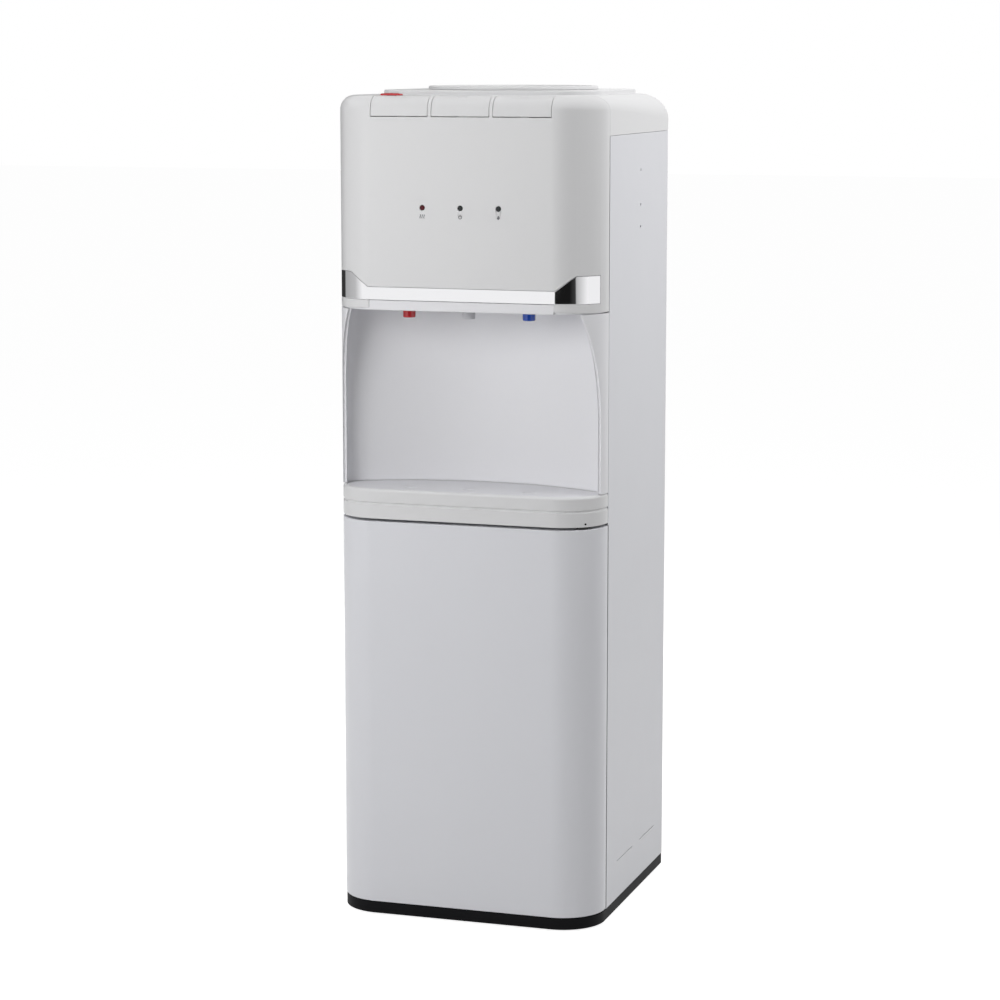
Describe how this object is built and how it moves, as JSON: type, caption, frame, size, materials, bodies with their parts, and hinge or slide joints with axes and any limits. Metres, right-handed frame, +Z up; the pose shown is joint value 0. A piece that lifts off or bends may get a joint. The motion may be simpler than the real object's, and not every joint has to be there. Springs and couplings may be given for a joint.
{
  "type": "top load water cooler",
  "caption": "Free-standing water cooler with an open bottle seat on top, press keys, coloured spouts over a curved bay, a lift-out drip tray and a hinged storage door.",
  "frame": {"origin": "on the floor, under the middle of the casing's width and depth", "axes": "+Z up, the front with the keys and the door faces -Y, +X is the right-hand side seen from the front"},
  "size_m": [0.31, 0.303, 0.94],
  "materials": {
    "casing_white": "smooth moulded white, soft gloss",
    "door_grey": "smooth pale grey, soft gloss",
    "panel_grey": "powder-coated steel sheet",
    "bay_white": "smooth moulded white",
    "tray_grey": "fine matt grain",
    "black_plastic": "fine matt grain",
    "black_paint": "semi-gloss black enamel",
    "rubber": "matt",
    "chrome": "bright plated plastic",
    "zinc_steel": "zinc-coated sheet",
    "stainless": "drawn stainless steel",
    "foam": "expanded foam",
    "silicone": "milky silicone",
    "red": "glossy",
    "blue": "glossy",
    "grey_plastic": "soft gloss",
    "red_lens": "clear dark red lens, unlit",
    "dark_lens": "smoked lens, unlit",
    "circuit_board": "green solder mask"
  },
  "bodies": {
    "root": {"base_plinth": "black_plastic", "foot_front_left": "rubber", "foot_front_right": "rubber", "foot_rear_left": "rubber", "foot_rear_right": "rubber", "side_panel_left": "panel_grey", "side_panel_right": "panel_grey", "rear_panel": "panel_grey", "top_cover": "casing_white", "upper_fascia": "casing_white", "chrome_trim": "chrome", "bay_panel": "bay_white", "tap_shroud": "bay_white", "tray_housing": "casing_white", "tap_body_hot": "grey_plastic", "tap_body_warm": "grey_plastic", "tap_body_cold": "grey_plastic", "nozzle_hot": "red", "nozzle_warm": "grey_plastic", "nozzle_cold": "blue", "button_hinge_rod": "zinc_steel", "led_lens_hot": "red_lens", "led_lens_power": "dark_lens", "led_lens_warm": "dark_lens", "led_board": "circuit_board", "door_magnet": "black_plastic", "hinge_pin_upper": "zinc_steel", "hinge_pin_lower": "zinc_steel", "cabinet_liner": "bay_white", "cold_tank": "stainless", "tank_insulation": "foam", "cold_tank_shelf": "zinc_steel", "hot_tank": "stainless", "hot_tank_shelf": "zinc_steel", "hot_hose": "silicone", "warm_hose": "silicone", "cold_hose": "silicone", "feed_hose": "silicone", "compressor": "black_paint", "condenser_coil": "black_paint", "condenser_wires": "black_paint", "switch_frame": "black_plastic", "drain_outlet": "grey_plastic", "cord_gland": "rubber"},
    "door": {"door_panel": "door_grey", "door_liner": "bay_white"},
    "key_hot": {"button_hot": "casing_white"},
    "key_warm": {"button_warm": "casing_white"},
    "key_cold": {"button_cold": "casing_white"},
    "rod_hot": {"push_rod_hot": "grey_plastic"},
    "rod_warm": {"push_rod_warm": "grey_plastic"},
    "rod_cold": {"push_rod_cold": "grey_plastic"},
    "lock": {"child_lock": "red"},
    "tray": {"drip_tray": "tray_grey"},
    "tray_lid": {"drip_grille": "tray_grey"},
    "seat": {"bottle_seat": "casing_white", "bottle_spike": "casing_white"},
    "rocker_hot": {"switch_hot": "red"},
    "rocker_cold": {"switch_cold": "blue"},
    "cap": {"drain_cap": "grey_plastic"}
  },
  "joints": [
    {"name": "door_hinge", "type": "hinge", "parent": "root", "child": "door", "pos_m": [0.1347, -0.1312, 0.2365], "axis": [0, 0, 1], "range_deg": [0, 105]},
    {"name": "key_hot_tilt", "type": "hinge", "parent": "root", "child": "key_hot", "pos_m": [-0.07047, -0.125, 0.9215], "axis": [1, 0, 0], "range_deg": [0, 8], "stiffness_Nm_per_rad": 0.6, "springref_deg": -5.73},
    {"name": "key_warm_tilt", "type": "hinge", "parent": "root", "child": "key_warm", "pos_m": [0, -0.125, 0.9215], "axis": [1, 0, 0], "range_deg": [0, 8], "stiffness_Nm_per_rad": 0.6, "springref_deg": -5.73},
    {"name": "key_cold_tilt", "type": "hinge", "parent": "root", "child": "key_cold", "pos_m": [0.07047, -0.125, 0.9215], "axis": [1, 0, 0], "range_deg": [0, 8], "stiffness_Nm_per_rad": 0.6, "springref_deg": -5.73},
    {"name": "rod_hot_slide", "type": "slide", "parent": "root", "child": "rod_hot", "axis": [0, 0, 1], "range_m": [-0.0024, 0]},
    {"name": "rod_warm_slide", "type": "slide", "parent": "root", "child": "rod_warm", "axis": [0, 0, 1], "range_m": [-0.0024, 0]},
    {"name": "rod_cold_slide", "type": "slide", "parent": "root", "child": "rod_cold", "axis": [0, 0, 1], "range_m": [-0.0024, 0]},
    {"name": "lock_slide", "type": "slide", "parent": "key_hot", "child": "lock", "axis": [0, 1, 0], "range_m": [0, 0.0035], "stiffness_N_per_m": 100, "springref_m": -0.003},
    {"name": "tray_lift", "type": "slide", "parent": "root", "child": "tray", "axis": [0, 0, 1], "range_m": [0, 0.06]},
    {"name": "tray_lid_lift", "type": "slide", "parent": "tray", "child": "tray_lid", "axis": [0, 0, 1], "range_m": [0, 0.05]},
    {"name": "seat_lift", "type": "slide", "parent": "root", "child": "seat", "axis": [0, 0, 1], "range_m": [0, 0.08]},
    {"name": "rocker_hot_tilt", "type": "hinge", "parent": "root", "child": "rocker_hot", "pos_m": [0.032, 0.1348, 0.228], "axis": [1, 0, 0], "range_deg": [0, 16]},
    {"name": "rocker_cold_tilt", "type": "hinge", "parent": "root", "child": "rocker_cold", "pos_m": [0.058, 0.1348, 0.228], "axis": [1, 0, 0], "range_deg": [0, 16]},
    {"name": "cap_pull", "type": "slide", "parent": "root", "child": "cap", "axis": [0, 1, 0], "range_m": [0, 0.03]}
  ],
  "couplings": [
    {"joint": "rod_hot_slide", "follows": "key_hot_tilt", "m_per_rad": -0.0168},
    {"joint": "rod_warm_slide", "follows": "key_warm_tilt", "m_per_rad": -0.0168},
    {"joint": "rod_cold_slide", "follows": "key_cold_tilt", "m_per_rad": -0.0168}
  ]
}
